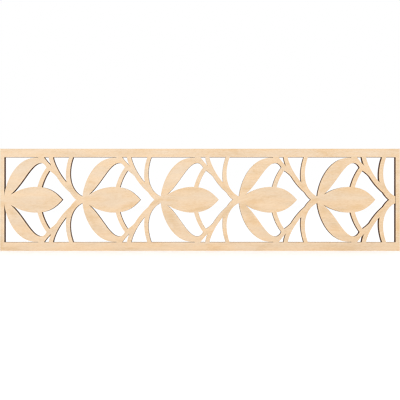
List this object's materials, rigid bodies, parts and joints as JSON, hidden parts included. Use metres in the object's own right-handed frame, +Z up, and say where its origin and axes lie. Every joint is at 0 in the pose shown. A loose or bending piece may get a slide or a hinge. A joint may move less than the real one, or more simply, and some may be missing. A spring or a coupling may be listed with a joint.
{
  "type": "fretwork moulding",
  "caption": "Flat wooden moulding, pierced with a running pattern of leaves and curving stems between plain rails, for fixing flat to a wall.",
  "frame": {"origin": "middle of the flat back, where the board lies against the wall", "axes": "+X along the board, to the right as its face is seen; +Z up; +Y into the wall, so the face looks towards -Y"},
  "size_m": [1.1938, 0.0095, 0.3048],
  "materials": {
    "maple": "unfinished pale maple, sanded smooth, with laser-browned cut walls"
  },
  "bodies": {
    "root": {"fretwork_board": "maple"}
  },
  "joints": []
}
